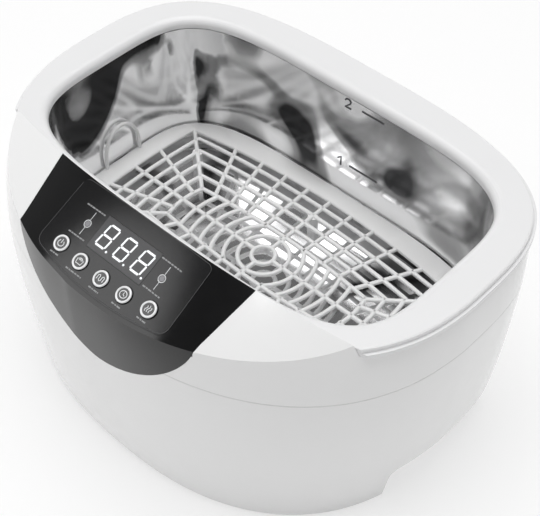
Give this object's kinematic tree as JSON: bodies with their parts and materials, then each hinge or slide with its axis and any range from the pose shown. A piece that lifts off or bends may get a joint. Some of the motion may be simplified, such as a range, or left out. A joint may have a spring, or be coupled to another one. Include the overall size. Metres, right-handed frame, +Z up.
{
  "type": "ultrasonic cleaner",
  "caption": "Bench ultrasonic cleaner: oval white housing with raised control hood, heated steel tank and lift-out grille basket.",
  "frame": {"origin": "on the ground under the middle of the bounding box", "axes": "+X to the user's right along the tank, +Y to the back, +Z up; the control hood is at -Y"},
  "size_m": [0.28, 0.212, 0.148],
  "materials": {
    "housing_white": "moulded, glossy",
    "frame_satin": "satin",
    "panel_gloss": "piano black",
    "overlay_film": "printed film, satin",
    "window_dark": "tinted",
    "display_body": "moulded",
    "board_green": "solder resist",
    "light_pipe": "clear moulding",
    "switch_black": "moulded",
    "key_caps": "moulded, printed rings",
    "tank_steel": "polished, deep drawn",
    "gasket_rubber": "soft",
    "zinc_steel": "zinc plated",
    "screw_steel": "zinc plated",
    "basket_white": "moulded, satin",
    "horn_aluminium": "turned",
    "piezo_ceramic": "fired",
    "contact_brass": "stamped",
    "heater_rubber": "silicone",
    "cutout_black": "phenolic",
    "ferrite_dark": "ferrite and tape",
    "capacitor_sleeve": "shrunk sleeve",
    "relay_blue": "moulded",
    "fuse_glass": "clear",
    "connector_white": "nylon",
    "foot_rubber": "soft",
    "lead_sleeve": "PVC",
    "lead_red": "PVC",
    "ribbon_grey": "PVC"
  },
  "bodies": {
    "cleaner": {"lower_housing": "housing_white", "upper_housing": "housing_white", "tank_frame": "frame_satin", "control_panel": "panel_gloss", "panel_overlay": "overlay_film", "display_window": "window_dark", "display_module": "display_body", "display_board": "board_green", "indicator_light_pipes": "light_pipe", "tact_switches": "switch_black", "tank": "tank_steel", "tank_gasket": "gasket_rubber", "tank_clamps": "zinc_steel", "clamp_screws": "screw_steel", "transducer_front_masses": "horn_aluminium", "piezo_rings": "piezo_ceramic", "electrode_tabs": "contact_brass", "transducer_back_masses": "zinc_steel", "transducer_bolts": "screw_steel", "heater_pad": "heater_rubber", "thermal_cutout": "cutout_black", "temperature_sensor": "horn_aluminium", "driver_board": "board_green", "board_standoffs": "contact_brass", "board_screws": "screw_steel", "drive_transformer": "ferrite_dark", "filter_capacitors": "capacitor_sleeve", "heatsink": "horn_aluminium", "power_transistors": "switch_black", "heater_relay": "relay_blue", "fuse": "fuse_glass", "fuse_clips": "contact_brass", "board_connectors": "connector_white", "fan_frame": "switch_black", "fan_screws": "screw_steel", "inlet_socket": "switch_black", "inlet_pins": "contact_brass", "inlet_screws": "screw_steel", "rubber_feet": "foot_rubber", "foot_screws": "screw_steel", "housing_screws": "screw_steel", "mains_leads": "lead_sleeve", "transducer_leads": "lead_red", "heater_leads": "lead_sleeve", "fan_leads": "lead_red", "display_ribbon": "ribbon_grey"},
    "basket_unit": {"basket": "basket_white", "basket_handle_left": "basket_white", "basket_handle_right": "basket_white"},
    "rotor": {"fan_rotor": "switch_black"},
    "button_power": {"key_power": "key_caps"},
    "button_ultrasonic": {"key_ultrasonic": "key_caps"},
    "button_heat": {"key_heat": "key_caps"},
    "button_timer": {"key_timer": "key_caps"},
    "button_temperature": {"key_temperature": "key_caps"}
  },
  "joints": [
    {"name": "basket_lift", "type": "slide", "parent": "cleaner", "child": "basket_unit", "axis": [0, 0, 1], "range_m": [0, 0.16]},
    {"name": "fan_spin", "type": "hinge", "parent": "cleaner", "child": "rotor", "pos_m": [0, 0.01455, 0.02], "axis": [0, 0, 1], "continuous": true},
    {"name": "press_power", "type": "slide", "parent": "cleaner", "child": "button_power", "axis": [0, 0.4515, -0.8923], "range_m": [0, 0.0006], "stiffness_N_per_m": 300, "springref_m": -0.0004},
    {"name": "press_ultrasonic", "type": "slide", "parent": "cleaner", "child": "button_ultrasonic", "axis": [0, 0.4515, -0.8923], "range_m": [0, 0.0006], "stiffness_N_per_m": 300, "springref_m": -0.0004},
    {"name": "press_heat", "type": "slide", "parent": "cleaner", "child": "button_heat", "axis": [0, 0.4515, -0.8923], "range_m": [0, 0.0006], "stiffness_N_per_m": 300, "springref_m": -0.0004},
    {"name": "press_timer", "type": "slide", "parent": "cleaner", "child": "button_timer", "axis": [0, 0.4515, -0.8923], "range_m": [0, 0.0006], "stiffness_N_per_m": 300, "springref_m": -0.0004},
    {"name": "press_temperature", "type": "slide", "parent": "cleaner", "child": "button_temperature", "axis": [0, 0.4515, -0.8923], "range_m": [0, 0.0006], "stiffness_N_per_m": 300, "springref_m": -0.0004}
  ]
}
